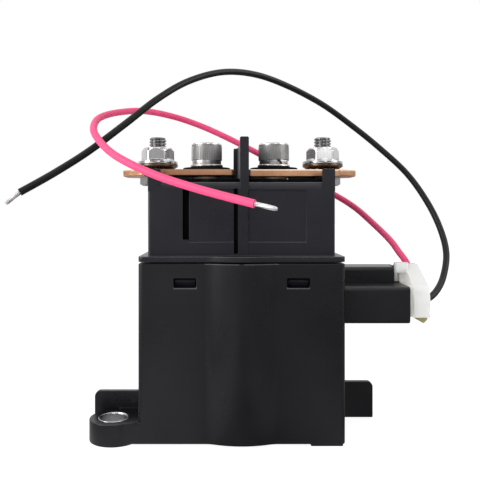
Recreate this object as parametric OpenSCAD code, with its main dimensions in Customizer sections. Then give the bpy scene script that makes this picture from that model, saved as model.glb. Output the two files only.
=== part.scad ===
// Starter solenoid: a boxed direct-current contactor with two copper bars, a coil
// plug with two leads, and the coil, armature and contact bridge inside its housing.
// Millimetres. X runs left to right, Y away from the front, Z up. The origin is the
// middle of the mounting plane, halfway between the two mounting holes.

/* [Housing] */
// Width of the housing, left to right
housing_w = 63.4; // [63:0.1:63.6]
// Depth of the housing, front to back
housing_d = 44; // [43.6:0.1:44.4]
// Height of the housing's rim above the mounting plane
housing_h = 55.7; // [55.5:0.1:55.9]
// Thickness of the housing's walls
wall_t = 2.3; // [2:0.1:2.5]
// Radius of the round swell on the front and rear walls, about the middle axis
swell_r = 24; // [23.5:0.1:24.4]
// Height of the feet under the housing's floor
foot_h = 0.6; // [0.5:0.1:1]

/* [Mounting ears] */
// Distance of each mounting hole from the middle, along X
ear_x = 40.2; // [39:0.1:41]
// Distance of each mounting hole from the middle, along Y
ear_y = 15.2; // [15:0.1:15.4]
// Outer radius of the ear
ear_r = 8; // [7.7:0.1:8.1]
// Height of the ear above the mounting plane
ear_h = 6.8; // [6:0.1:8]
// Bore radius of the steel bush in the ear
bush_bore_r = 4.2; // [4.1:0.1:4.3]

/* [Contact cover] */
// Width of the upper body of the cover
cover_w = 58.1; // [57.8:0.1:58.4]
// Depth of the upper body of the cover
cover_d = 38; // [37.6:0.1:38.4]
// Height of the cover's roof above the mounting plane
roof_z = 82; // [81.6:0.1:82.2]
// Height of the barrier between the bars above the mounting plane
barrier_z = 94.9; // [90:0.1:96]

/* [Terminals] */
// Distance of each outer stud from the middle
stud_x = 28; // [27.8:0.1:28.2]
// Distance of each contact screw from the middle
screw_x = 11.4; // [11.2:0.1:11.6]
// Thickness of each copper bar
bar_t = 2.2; // [2:0.1:2.4]
// Width of each copper bar, front to back
bar_w = 18; // [17:0.5:18.4]
// Radius of the studs and screws
thread_r = 3; // [2.9:0.05:3.05]
// Length of stud that stands clear above each nut
stud_free = 3.1; // [2.5:0.1:4]

/* [Coil and armature] */
// Travel of the armature when the coil pulls it in
armature_travel = 2.5; // [2.2:0.1:2.7]
// Radius of the armature
armature_r = 6; // [5.8:0.1:6]
// Outer radius of the copper winding
winding_r = 16.2; // [15:0.1:16.6]

/* [Leads] */
// Outer diameter of each insulated lead
lead_d = 2.2; // [2:0.1:2.3]
// Diameter of the tinned core at each lead's end
core_d = 1.2; // [1:0.1:1.4]

/* [Hidden] */
$fn = 64;
eps = 0.01;
fit = 0.05;

plastic = [0.15, 0.15, 0.16];
copper = [0.80, 0.57, 0.42];
steel = [0.72, 0.72, 0.70];
iron = [0.55, 0.56, 0.58];
white_nylon = [0.93, 0.93, 0.90];

// Housing
wall_corner = 1.5;
swell_blend = 9;
cavity_w = housing_w - 2 * wall_t;
cavity_d = housing_d - 2 * wall_t;
cavity_corner = 0.8;
floor_z = foot_h + 2.5;
pad_x = [21.1, 30.9];
pad_d = 12;
ear_bore_r = 4.92;
ear_outer_x = 39.8;
ear_web_back = -6;
fin_front_x = 48.1;
fin_rear_x = 46.2;
fin_y = [-6.7, -4.5];
fin_h = 12.5;
fin_corner = 1.9;
window_x = [13.9, 20.8];
window_z = [48.3, 51.2];

// Socket on the right wall, and the plug in it
socket_x = 52.7;
latch_notch_x = 51;
socket_wall = 1.5;
socket_y = [-18, 7];
socket_z = [36.6, 48.1];
latch_y = [-5.5, 7];
latch_top = 53.2;
socket_floor_x = housing_w / 2 + 2.2;
plug_gap = 0.2;
hood_x = 59.3;
hood_side = [[-16.5, 38.3], [-16.5, 47.5], [-6, 54.2], [1.5, 54.2], [6, 51], [6, 38.3]];
hood_front = [[52, 38], [59.3, 38], [59.3, 46.5], [58.5, 54.3], [52, 54.3]];
hood_inside = [[-15.3, 39.5], [-15.3, 46.8], [-5.6, 53], [1.1, 53], [4.8, 50.4], [4.8, 39.5]];
pin_y = [-10.5, -0.5];
pin_z = 42.6;
pin_size = [0.8, 2.3];
pin_x = [26, 43];

// Contact cover
seam = 0.5;
flange_z = housing_h + seam;
flange_t = 1.7;
cover_base = flange_z + flange_t;
cover_wall = 2.2;
roof_t = 3.7;
roof_round = 2.2;
roof_step = 1.1;
roof_edge_z = roof_z - roof_step - roof_round;
roof_groove_r = 8;
roof_groove_z = 89.2;
skirt_gap = 0.15;
notch_gap = 0.3;
skirt_t = 1.6;
tab_z = 46.6;
post_w = 3.9;
post_top = 84.9;
post_y = [9.4, cover_d / 2];
neck_r = 4.5;
barrier_plan = [[0.1, -19], [1.3, -19], [1.3, 8], [0.9, 18], [-1, 18], [0.1, 7.5]];
magnet_size = [34, 2.4, 14];
magnet_z = 70;
magnet_y = cover_d / 2 - cover_wall - magnet_size[1] / 2 - fit;

// Terminals, from the bars upward
bar_z = 83.2;
bar_top = bar_z + bar_t;
bar_inner_x = 1.8;
bar_left_end = 39.2;
bar_right_end = 38.5;
bar_corner = 1.9;
bar_cut_x = 32.6;
bar_cut_y = 4;
bolt_head_af = 10.5;
bolt_head_z = 80.3;
bolt_recess_z = 81.2;
tooth_r = 7;
tooth_t = 0.6;
nut_z = bar_top + tooth_t;
nut_h = 7.1;
nut_af = 10;
nut_corner_r = 5.53;
stud_top = nut_z + nut_h + stud_free;
shank_r = thread_r - 0.3;
fibre_t = 0.6;
plain_t = 1.1;
lock_t = 1.6;
screw_head_z = bar_top + fibre_t + plain_t + lock_t;
screw_head_h = 6;
screw_head_r = 5.1;
hex_key_af = 5;
contact_face_z = 71.35;

// Coil, yoke and armature
yoke_t = 2.5;
yoke_w = 50;
yoke_d = 26;
yoke_floor = floor_z + yoke_t;
yoke_top = 47.3;
plate_under = yoke_top - yoke_t;
bobbin_flange_r = 17.5;
bobbin_flange_t = 1.8;
bobbin_bore_r = armature_r + 0.35;
bobbin_tube_r = 7.6;
core_under = 27;
armature_top = core_under - armature_travel - 0.1;
rod_r = 1.5;
spring_pocket_r = 4.2;
return_pocket = [armature_top - 5, core_under + 4];
rod_z = [armature_top - 10, 70.5];
seat_z = 58.2;
seat_t = 0.8;
bridge_z = 66.2;
bridge_t = 2.5;
bridge_pad_t = 0.6;
chamber_plate_t = 2.4;

// Leads: each route is a list of points from the plug to where the core is bared
black_route = [
    [49, -10.5, 42.6], [55, -10.5, 42.6], [59.8, -10, 43], [64.2, -7, 45.2], [68.6, -1.5, 49.7],
    [71.7, 4.5, 57.2], [71.4, 10, 65.7], [68.3, 15, 75.3], [62.2, 19, 85.6], [53, 22, 95.2],
    [42.9, 23, 103.7], [31.1, 22, 111.9], [17.6, 18, 118], [5.6, 11, 120.6], [-5.9, 3, 119.7],
    [-17, -5.5, 114.9], [-26.5, -13, 107.7], [-36, -18.5, 98.9], [-46.3, -23, 90],
    [-55.8, -27.2, 83], [-64.7, -31, 77.2]
];
black_tip = [-68, -33, 73.9];
red_route = [
    [49, -0.5, 42.6], [53, -0.5, 42.8], [56, -0.4, 45], [57.5, -0.3, 49.2], [56.8, 0.2, 53.8],
    [54.6, 2, 57.6], [52.4, 5.5, 61.6], [48.4, 12, 66.9], [42.8, 18.5, 73], [35.3, 21.5, 78.1],
    [22.6, 22.5, 85.1], [9.4, 22, 92.2], [-4, 21, 98.9], [-13.9, 19.5, 103.2], [-23.8, 15.5, 106.1],
    [-33.5, 8, 107], [-40.9, -1, 105.2], [-45, -12, 101.9], [-45.3, -21, 97.9], [-43, -28, 93.7],
    [-36.5, -36, 87.8], [-25.5, -43.5, 82.2], [-12.6, -51, 77.7], [2.3, -58, 73.6]
];
red_tip = [7.7, -60.3, 72.3];
lead_sides = 8;

// Helpers for plane shapes
module rounded_rect(w, d, r) {
    square([w - 2 * r, d], center = true);
    square([w, d - 2 * r], center = true);
    for (x = [-1, 1], y = [-1, 1])
        translate([x * (w / 2 - r), y * (d / 2 - r)]) circle(r);
}

module rounded_span(x, y, r) {
    translate([(x[0] + x[1]) / 2, (y[0] + y[1]) / 2])
        rounded_rect(x[1] - x[0], y[1] - y[0], r);
}

module hexagon(across_flats) {
    circle(across_flats / sqrt(3), $fn = 6);
}

// Plan of the housing: a rounded rectangle with a round swell that runs into the
// flat front and rear walls through a hollow on each side
module swelled_plan() {
    half_d = housing_d / 2;
    blend_x = sqrt(pow(swell_r + swell_blend, 2) - pow(half_d + swell_blend, 2));
    meet = swell_r / (swell_r + swell_blend);
    meet_x = blend_x * meet;
    meet_y = (half_d + swell_blend) * meet;
    rounded_rect(housing_w, housing_d, wall_corner);
    circle(swell_r, $fn = 128);
    for (sx = [-1, 1], sy = [-1, 1])
        scale([sx, sy]) difference() {
            translate([meet_x - 1, half_d - 1]) square([blend_x - meet_x + 1, meet_y - half_d + 1]);
            translate([blend_x, half_d + swell_blend]) circle(swell_blend, $fn = 128);
        }
}

// Helpers that raise a plane shape into a solid between two levels
module prism(z0, z1) {
    translate([0, 0, z0]) linear_extrude(z1 - z0) children();
}

module along_x(x0, x1) {
    translate([x0, 0, 0]) rotate([90, 0, 90]) linear_extrude(x1 - x0) children();
}

module along_y(y0, y1) {
    translate([0, y1, 0]) rotate([90, 0, 0]) linear_extrude(y1 - y0) children();
}

module block(x, y, z) {
    translate([x[0], y[0], z[0]]) cube([x[1] - x[0], y[1] - y[0], z[1] - z[0]]);
}

module front_and_rear() {
    children();
    rotate(180) children();
}

module turned(profile) {
    rotate_extrude() polygon(profile);
}

// Base housing
module mounting_ear(fin_x) {
    translate([-ear_outer_x, -ear_y, 0]) cylinder(r = ear_r, h = ear_h);
    block([-ear_outer_x, wall_t - housing_w / 2], [-housing_d / 2, ear_web_back], [foot_h, ear_h]);
    along_y(fin_y[0], fin_y[1]) difference() {
        translate([-fin_x, 0]) square([fin_x - housing_w / 2 + wall_t, fin_h]);
        translate([-fin_x, fin_h - fin_corner]) difference() {
            translate([-eps, 0]) square([fin_corner + eps, fin_corner + eps]);
            translate([fin_corner, 0]) circle(fin_corner);
        }
    }
}

module foot_pad() {
    block(pad_x, [-housing_d / 2, pad_d - housing_d / 2], [0, foot_h + eps]);
}

module socket_shell() {
    root_x = housing_w / 2 - wall_t;
    along_x(root_x, socket_x) rounded_span(socket_y, socket_z, 1.2);
    difference() {
        along_x(root_x, socket_x) rounded_span(latch_y, [socket_z[0] + 2, latch_top], 1.2);
        block([latch_notch_x, socket_x + 1], [latch_y[0] - 1, 0.1], [socket_z[1] + 0.3, latch_top + 1]);
    }
}

module socket_cavity() {
    main_y = [socket_y[0] + socket_wall, socket_y[1] - socket_wall];
    main_z = [socket_z[0] + socket_wall, socket_z[1] - socket_wall];
    slot_y = [latch_y[0] + socket_wall, latch_y[1] - socket_wall];
    along_x(socket_floor_x, socket_x + 1) rounded_span(main_y, main_z, 0.6);
    along_x(socket_floor_x, socket_x + 1)
        rounded_span(slot_y, [main_z[0] + 2, latch_top - socket_wall], 0.6);
}

module latch_window() {
    for (s = [-1, 1])
        translate([s * (window_x[0] + window_x[1]) / 2, 0])
            block([-1, 1] * (window_x[1] - window_x[0]) / 2,
                [-housing_d / 2 - 1, -cavity_d / 2 + 1], window_z);
}

module base_housing() {
    color(plastic) difference() {
        union() {
            prism(foot_h, housing_h) swelled_plan();
            mounting_ear(fin_front_x);
            rotate(180) mounting_ear(fin_rear_x);
            front_and_rear() foot_pad();
            socket_shell();
        }
        prism(floor_z, housing_h + 1) rounded_rect(cavity_w, cavity_d, cavity_corner);
        front_and_rear() {
            translate([-ear_x, -ear_y, -1]) cylinder(r = ear_bore_r, h = ear_h + 2);
            latch_window();
        }
        socket_cavity();
        for (y = pin_y)
            along_x(housing_w / 2 - wall_t - 1, socket_floor_x + 1)
                translate([y, pin_z]) square([pin_size[0] + 2 * fit, pin_size[1] + 2 * fit], center = true);
    }
}

module mounting_bush() {
    color(iron) turned([
        [bush_bore_r, 0], [ear_bore_r - fit, 0], [ear_bore_r - fit, ear_h],
        [bush_bore_r + 0.3, ear_h], [bush_bore_r, ear_h - 0.3]
    ]);
}

// Contact cover
module upper_body() {
    half_w = cover_w / 2;
    half_d = cover_d / 2;
    plate_d = half_d - roof_round;
    intersection() {
        prism(cover_base - eps, roof_z) rounded_rect(cover_w, cover_d, 0.9);
        along_x(-half_w, half_w) {
            translate([-half_d, cover_base - 1]) square([cover_d, roof_edge_z - cover_base + 1]);
            for (s = [-1, 1]) translate([s * plate_d, roof_edge_z]) circle(roof_round);
            polygon([
                [-plate_d, cover_base], [-plate_d, roof_z - 0.6], [0.6 - plate_d, roof_z],
                [plate_d - 0.6, roof_z], [plate_d, roof_z - 0.6], [plate_d, cover_base]
            ]);
        }
    }
}

module corner_post() {
    half_w = cover_w / 2;
    block([half_w - post_w, half_w], [-post_y[1], -post_y[1] + 1.8], [roof_z - 4, post_top]);
    block([half_w - 1.8, half_w], [-post_y[1], -post_y[0]], [roof_z - 4, post_top]);
}

// Wall between the bars, with a post at its front and rear end
module barrier() {
    half_d = cover_d / 2;
    root_z = roof_z - 4;
    along_y(-half_d - 0.3, -half_d + 4) rounded_span([-0.5, 2.3], [root_z, barrier_z], 0.5);
    along_y(half_d - 2, half_d + 0.3) rounded_span([-2.1, 0.9], [root_z, barrier_z - 0.2], 0.5);
    prism(root_z, barrier_z - 0.15) polygon(barrier_plan);
}

module snap_tab() {
    half_d = housing_d / 2;
    back_y = wall_t + 1.6 - half_d;
    for (s = [-1, 1])
        translate([s * (window_x[0] + window_x[1]) / 2, 0]) {
            block([-3.1, 3.1], [wall_t + 0.2 - half_d, back_y], [tab_z, flange_z + eps]);
            along_x(-3.1, 3.1) polygon([
                [back_y - 0.4, window_z[1] - 0.35], [-half_d + 1.2, window_z[1] - 0.35],
                [-half_d + 0.7, window_z[1] - 0.85], [back_y - 0.4, window_z[0] - 1.1]
            ]);
        }
}

module cover_front() {
    half_d = cover_d / 2;
    // Rib down the middle of the wall
    block([-1.1, 2], [-half_d - 0.3, -half_d + 1], [cover_base - eps, roof_edge_z]);
}

module cover_front_cuts() {
    half_d = cover_d / 2;
    panel_z = [62.2, 78.3];
    block([-2.3, -1.1], [-half_d - 1, -half_d + 0.8], [cover_base + 0.6, roof_edge_z]);
    block([-18.2, -16.3], [-half_d - 1, -half_d + 1.6], [62.9, roof_edge_z]);
    block([-16.3, -2.3], [-half_d - 1, -half_d + 0.35], panel_z);
    block([2, 20], [-half_d - 1, -half_d + 0.35], panel_z);
}

// Grooves in the roof under the bars, and room for the studs' heads
module roof_cuts() {
    inner_x = cover_w / 2 - post_w;
    for (s = [-1, 1]) scale([s, 1]) {
        translate([screw_x, 0, roof_z - 4]) cylinder(r = neck_r + fit, h = 8);
        front_and_rear() translate([0, 0, roof_groove_z]) rotate([90, 0, 0])
            translate([screw_x, 0, 0]) cylinder(r = roof_groove_r, h = cover_d);
        block([inner_x - 3, inner_x], [-bar_w / 2 - 5, bar_w / 2 + 5], [bolt_recess_z, roof_z + 1]);
        block([inner_x - eps, cover_w], [-post_y[0], post_y[0]], [bolt_recess_z, roof_z + 1]);
        translate([stud_x, 0, bolt_head_z]) linear_extrude(4) hexagon(bolt_head_af + 0.4);
    }
}

module contact_cover() {
    chamber_w = cover_w - 2 * cover_wall;
    chamber_d = cover_d - 2 * cover_wall;
    skirt_w = cavity_w - 2 * skirt_gap;
    skirt_d = cavity_d - 2 * skirt_gap;
    color(plastic) difference() {
        union() {
            prism(flange_z, cover_base) swelled_plan();
            upper_body();
            prism(yoke_top + chamber_plate_t, flange_z + eps)
                rounded_rect(skirt_w, skirt_d, cavity_corner);
            for (s = [-1, 1]) scale([s, 1]) front_and_rear() corner_post();
            barrier();
            front_and_rear() {
                snap_tab();
                cover_front();
            }
        }
        prism(yoke_top, cover_base)
            rounded_rect(skirt_w - 2 * skirt_t, skirt_d - 2 * skirt_t, cavity_corner);
        prism(cover_base - 1, roof_z - roof_t) rounded_rect(chamber_w, chamber_d, 1);
        front_and_rear() cover_front_cuts();
        roof_cuts();
    }
}

// Copper bars and what clamps them
module busbar(end_x) {
    half = bar_w / 2;
    near = bar_inner_x;
    color(copper) prism(bar_z, bar_top) difference() {
        polygon([
            [near + bar_corner, -half], [bar_cut_x, -half], [end_x, -bar_cut_y],
            [end_x, bar_cut_y], [bar_cut_x, half], [near + bar_corner, half],
            [near, half - bar_corner], [near, bar_corner - half]
        ]);
        translate([screw_x, 0]) circle(thread_r + 0.3);
        translate([stud_x, 0]) circle(thread_r + 0.2);
    }
}

module terminal_bolt() {
    color(steel) {
        intersection() {
            prism(bolt_head_z, bar_z) hexagon(bolt_head_af);
            turned([
                [0, bolt_head_z], [bolt_head_af / 2 - 0.2, bolt_head_z],
                [bolt_head_af / 2 + 0.9, bolt_head_z + 0.6], [bolt_head_af / 2 + 0.9, bar_z + 1], [0, bar_z + 1]
            ]);
        }
        turned([
            [0, bar_z - 1], [shank_r, bar_z - 1], [shank_r, nut_z + nut_h], [thread_r, nut_z + nut_h],
            [thread_r, stud_top - 0.6], [thread_r - 0.6, stud_top], [0, stud_top]
        ]);
    }
}

// Dished washer that rises to its rim, with slots between the teeth under the nut
module tooth_washer() {
    teeth = 12;
    inner_r = thread_r + 0.3;
    color(steel) translate([0, 0, bar_top]) difference() {
        turned([
            [inner_r, 0], [4.4, 0], [tooth_r, 1.4], [tooth_r, 2.1], [tooth_r - 0.4, 2.1],
            [4.2, tooth_t], [inner_r, tooth_t]
        ]);
        for (i = [0 : teeth - 1])
            rotate(i * 360 / teeth) translate([5.3, 0, -1]) cylinder(r = 0.7, h = 4, $fn = 24);
    }
}

module terminal_nut() {
    color(steel) translate([0, 0, nut_z]) difference() {
        union() {
            intersection() {
                translate([0, 0, 1]) linear_extrude(nut_h - 1) hexagon(nut_af);
                turned([
                    [0, 0], [nut_corner_r, 0], [nut_corner_r, nut_h - 0.7],
                    [nut_af / 2 - 0.3, nut_h], [0, nut_h]
                ]);
            }
            turned([[0, 0], [4.15, 0], [6, 1.18], [6, 1.9], [nut_af / 2 + 0.2, 2.5], [0, 2.5]]);
        }
        translate([0, 0, -1]) cylinder(r = shank_r + 0.03, h = nut_h + 2);
    }
}

module contact_screw() {
    tip_z = 74.5;
    head_top = screw_head_z + screw_head_h;
    color(steel) difference() {
        turned([
            [0, tip_z], [thread_r - 0.5, tip_z], [thread_r, tip_z + 0.5], [thread_r, screw_head_z],
            [screw_head_r, screw_head_z], [screw_head_r, head_top - 0.5],
            [screw_head_r - 0.5, head_top], [0, head_top]
        ]);
        prism(head_top - 3, head_top + 1) hexagon(hex_key_af);
    }
}

module lock_washer() {
    slit = 0.9;
    color(steel) translate([0, 0, bar_top + fibre_t + plain_t]) difference() {
        cylinder(r = 4.9, h = lock_t);
        translate([0, 0, -1]) cylinder(r = thread_r + 0.15, h = lock_t + 2);
        rotate(-70) translate([thread_r, 0, lock_t / 2]) rotate([35, 0, 0])
            translate([0, -slit / 2, -2]) cube([3, slit, 4]);
    }
}

module flat_washer(outer_r, under, thick) {
    translate([0, 0, under]) difference() {
        cylinder(r = outer_r, h = thick);
        translate([0, 0, -1]) cylinder(r = thread_r + 0.2, h = thick + 2);
    }
}

module plain_washer() {
    color(steel) flat_washer(5.9, bar_top + fibre_t, plain_t);
}

module fibre_washer() {
    color(plastic) flat_washer(8, bar_top, fibre_t);
}

module fixed_contact() {
    color(copper) difference() {
        turned([
            [0, contact_face_z], [4.6, contact_face_z], [5, contact_face_z + 0.4],
            [5, roof_z - roof_t - 3], [6.4, roof_z - roof_t - 2.4], [6.4, roof_z - roof_t],
            [neck_r, roof_z - roof_t], [neck_r, bar_z], [0, bar_z]
        ]);
        translate([0, 0, contact_face_z + 2.6]) cylinder(r = thread_r + 0.03, h = 20);
    }
}

// Coil plug in the socket, with a hood over the leads that is open on its far side
module plug_latch() {
    arm_y = [-2.2, 3.8];
    pad_from = latch_notch_x + 0.1;
    block([38.5, socket_x + 1], arm_y, [46, 48.4]);
    block([pad_from, socket_x + 1], [-5.4, 0], [48.6, 51.4 + eps]);
    block([pad_from, 55.2], [-6.6, 0], [51.4, 54.8]);
}

module connector_plug() {
    body_y = [socket_y[0] + socket_wall + plug_gap, socket_y[1] - socket_wall - plug_gap];
    body_z = [socket_z[0] + socket_wall + plug_gap, socket_z[1] - socket_wall - plug_gap];
    color(white_nylon) difference() {
        union() {
            along_x(36, socket_x + eps) rounded_span(body_y, body_z, 0.5);
            intersection() {
                along_x(socket_x, hood_x) polygon(hood_side);
                along_y(-17, 7) polygon(hood_front);
            }
            plug_latch();
        }
        along_x(socket_x + 1.2, hood_x + 1) polygon(hood_inside);
        block([54.9, hood_x + 1], [-1.7, 2.3], [50, 55]);
        for (y = pin_y) {
            along_x(35, 44) translate([y, pin_z]) square([pin_size[0] + 0.8, pin_size[1] + 0.8], center = true);
            along_x(43.5, hood_x) translate([y, pin_z]) square([2.7, 3.5], center = true);
        }
    }
}

module plug_retainer() {
    color([0.66, 0.63, 0.36]) along_y(-14.5, 3) polygon([
        [55.2, 38.3], [59.3, 38.3], [59.1, 37.3], [57.9, 36.1], [55.4, 37.5]
    ]);
}

module plug_terminals() {
    wall = 0.25;
    color([0.80, 0.70, 0.42]) for (y = pin_y) difference() {
        along_x(43.6, 48.9) translate([y, pin_z]) square([2.4, 3.2], center = true);
        along_x(42, 48) translate([y, pin_z])
            square([2.4 - 2 * wall, 3.2 - 2 * wall], center = true);
    }
}

module coil_pins() {
    color([0.80, 0.66, 0.35]) for (y = pin_y)
        along_x(pin_x[0], pin_x[1]) translate([y, pin_z]) square(pin_size, center = true);
}

// Coil, core and yoke
module coil_leads() {
    r = 0.4;
    run_y = -15.2;
    start_x = pin_x[0] - r;
    color(copper) for (i = [0, 1]) {
        z = pin_z - 0.9 - 1.5 * i;
        top = pin_z - 0.2;
        points = [
            [start_x, pin_y[i], top], [start_x, pin_y[i], z], [start_x, run_y, z],
            [9, run_y, z], [9, -14.2, z]
        ];
        for (k = [0 : len(points) - 2]) rod_between(points[k], points[k + 1], r);
    }
}

// A round rod with ball ends between two points that differ along one axis only
module rod_between(a, b, r) {
    d = b - a;
    turn = abs(d[0]) > eps ? [0, 90, 0] : abs(d[1]) > eps ? [90, 0, 0] : [0, 0, 0];
    translate((a + b) / 2) rotate(turn) cylinder(r = r, h = norm(d), center = true, $fn = 24);
    translate(a) sphere(r, $fn = 24);
    translate(b) sphere(r, $fn = 24);
}

module coil_bobbin() {
    top = plate_under;
    under = yoke_floor;
    color([0.20, 0.22, 0.20]) turned([
        [bobbin_bore_r, under], [bobbin_flange_r, under], [bobbin_flange_r, under + bobbin_flange_t],
        [bobbin_tube_r, under + bobbin_flange_t], [bobbin_tube_r, top - bobbin_flange_t],
        [bobbin_flange_r, top - bobbin_flange_t], [bobbin_flange_r, top], [bobbin_bore_r, top]
    ]);
}

module coil_winding() {
    under = yoke_floor + bobbin_flange_t;
    top = plate_under - bobbin_flange_t;
    color([0.72, 0.38, 0.20]) turned([
        [bobbin_tube_r + fit, under], [winding_r, under], [winding_r, top],
        [bobbin_tube_r + fit, top]
    ]);
}

module fixed_core() {
    color(iron) turned([
        [rod_r + 0.06, return_pocket[1]], [spring_pocket_r, return_pocket[1]],
        [spring_pocket_r, core_under], [armature_r, core_under], [armature_r + 0.15, core_under + 1],
        [armature_r + 0.15, plate_under], [5, plate_under], [5, yoke_top], [rod_r + 0.06, yoke_top]
    ]);
}

module yoke_frame() {
    half = yoke_w / 2;
    bend = 3;
    color(iron) along_y(-yoke_d / 2, yoke_d / 2) difference() {
        union() {
            translate([-half, floor_z + bend]) square([yoke_w, yoke_top - floor_z - bend]);
            translate([bend - half, floor_z]) square([yoke_w - 2 * bend, bend + 1]);
            for (s = [-1, 1]) translate([s * (half - bend), floor_z + bend]) circle(bend);
        }
        translate([yoke_t - half, yoke_floor]) square([yoke_w - 2 * yoke_t, yoke_top]);
    }
}

module yoke_plate() {
    color(iron) prism(plate_under, yoke_top) difference() {
        square([yoke_w - 2 * yoke_t, yoke_d], center = true);
        circle(5 + fit);
    }
}

module chamber_plate() {
    w = cavity_w - 2 * skirt_gap;
    d = cavity_d - 2 * skirt_gap;
    notch = window_x[1] - window_x[0] + 2 * notch_gap;
    color([0.24, 0.24, 0.23]) difference() {
        union() {
            prism(yoke_top, yoke_top + chamber_plate_t) rounded_rect(w, d, cavity_corner);
            prism(yoke_top, yoke_top + chamber_plate_t + 3) circle(4);
        }
        translate([0, 0, yoke_top - 1]) cylinder(r = rod_r + 0.5, h = 10);
        for (sx = [-1, 1], sy = [-1, 1])
            translate([sx * (window_x[0] + window_x[1]) / 2, sy * d / 2, yoke_top])
                cube([notch, 4, 8], center = true);
    }
}

module arc_magnet() {
    color([0.30, 0.30, 0.32]) translate([0, 0, magnet_z]) cube(magnet_size, center = true);
}

// Armature and moving contact
module armature() {
    under = yoke_floor;
    color(iron) turned([
        [0, under], [armature_r - 0.4, under], [armature_r, under + 0.4],
        [armature_r, armature_top], [spring_pocket_r, armature_top],
        [spring_pocket_r, return_pocket[0]], [rod_r + 0.02, return_pocket[0]],
        [rod_r + 0.02, rod_z[0]], [0, rod_z[0]]
    ]);
}

module push_rod() {
    groove_r = 1.1;
    clip_z = bridge_z + bridge_t;
    color(steel) turned([
        [0, rod_z[0]], [rod_r, rod_z[0]], [rod_r, seat_z], [groove_r, seat_z],
        [groove_r, seat_z + seat_t], [rod_r, seat_z + seat_t], [rod_r, clip_z],
        [groove_r, clip_z], [groove_r, clip_z + 0.8], [rod_r, clip_z + 0.8],
        [rod_r, rod_z[1] - 0.3], [rod_r - 0.3, rod_z[1]], [0, rod_z[1]]
    ]);
}

// Retaining clip with an open side, pushed into a groove of the rod
module open_clip(outer_r, under) {
    translate([0, 0, under]) linear_extrude(0.8) difference() {
        circle(outer_r);
        circle(1.15);
        translate([0, -0.9]) square([outer_r + 1, 1.8]);
    }
}

module spring_seat() {
    color(steel) open_clip(4.6, seat_z);
}

module bridge_clip() {
    color(steel) open_clip(3.4, bridge_z + bridge_t);
}

module contact_bridge() {
    color(copper) {
        prism(bridge_z, bridge_z + bridge_t) difference() {
            rounded_rect(34, 10, 2);
            circle(rod_r + 0.35);
        }
        for (s = [-1, 1])
            translate([s * screw_x, 0, bridge_z + bridge_t - eps])
                turned([[0, 0], [4, 0], [4, 0.3], [3.6, bridge_pad_t + eps], [0, bridge_pad_t + eps]]);
    }
}

// Helpers for tubes swept along a route
function unit(v) = v / norm(v);
function along(p, i) = unit(p[min(i + 1, len(p) - 1)] - p[max(i - 1, 0)]);
function ring(c, t, side, r, n) = let(a = unit(cross(t, side)), b = cross(t, a))
    [for (k = [0 : n - 1]) c + r * (cos(360 * k / n) * a + sin(360 * k / n) * b)];
function smooth_point(a, b, c, d, t) =
    0.5 * (2 * b + (c - a) * t + (2 * a - 5 * b + 4 * c - d) * t * t + (3 * b - a - 3 * c + d) * t * t * t);
function smooth(p, steps) = let(last = len(p) - 1) concat(
    [for (i = [0 : last - 1], k = [0 : steps - 1])
        smooth_point(p[max(i - 1, 0)], p[i], p[i + 1], p[min(i + 2, last)], k / steps)],
    [p[last]]
);

module tube(points, r, n, side) {
    count = len(points);
    rings = [for (i = [0 : count - 1]) each ring(points[i], along(points, i), side, r, n)];
    sides = [for (i = [0 : count - 2], k = [0 : n - 1])
        [i * n + k, i * n + (k + 1) % n, (i + 1) * n + (k + 1) % n, (i + 1) * n + k]];
    first = [for (k = [0 : n - 1]) n - 1 - k];
    final = [for (k = [0 : n - 1]) (count - 1) * n + k];
    polyhedron(rings, concat(sides, [first, final]), convexity = 6);
}

// Coil spring on the middle axis, from one level to another, with its ends closed up
module spring(z0, z1, mean_r, wire_r, turns) {
    per_turn = 16;
    n = turns * per_turn;
    function rise(u) = u < 0.18 ? u * 0.35 : u > 0.82 ? 1 - (1 - u) * 0.35
        : 0.063 + (u - 0.18) * (1 - 0.126) / 0.64;
    points = [for (i = [0 : n]) let(u = i / n, a = 360 * turns * u)
        [mean_r * cos(a), mean_r * sin(a), z0 + wire_r + (z1 - z0 - 2 * wire_r) * rise(u)]];
    tube(points, wire_r, 6, [0, 0, 1]);
}

module return_spring() {
    color(steel) spring(return_pocket[0], return_pocket[1], 3.2, 0.4, 6);
}

module contact_spring() {
    color(steel) spring(seat_z + seat_t, bridge_z, 3.4, 0.45, 4);
}

// Leads
module black_lead() {
    color([0.18, 0.18, 0.18]) tube(smooth(black_route, 2), lead_d / 2, lead_sides, [0, 1, 0]);
}

module red_lead() {
    color([0.86, 0.20, 0.42]) tube(smooth(red_route, 2), lead_d / 2, lead_sides, [0, 1, 0]);
}

// Bared core, which leaves its lead square to the lead's end
module lead_core(route, tip) {
    points = smooth(route, 2);
    last = len(points) - 1;
    from = points[last];
    core = [from, from + 0.8 * along(points, last), tip];
    color([0.85, 0.85, 0.83]) tube(core, core_d / 2, lead_sides, [0, 1, 0]);
}

module black_lead_core() {
    lead_core(black_route, black_tip);
}

module red_lead_core() {
    lead_core(red_route, red_tip);
}

module at_left(x) {
    translate([-x, 0, 0]) rotate(180) children();
}

module at_right(x) {
    translate([x, 0, 0]) children();
}

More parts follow.
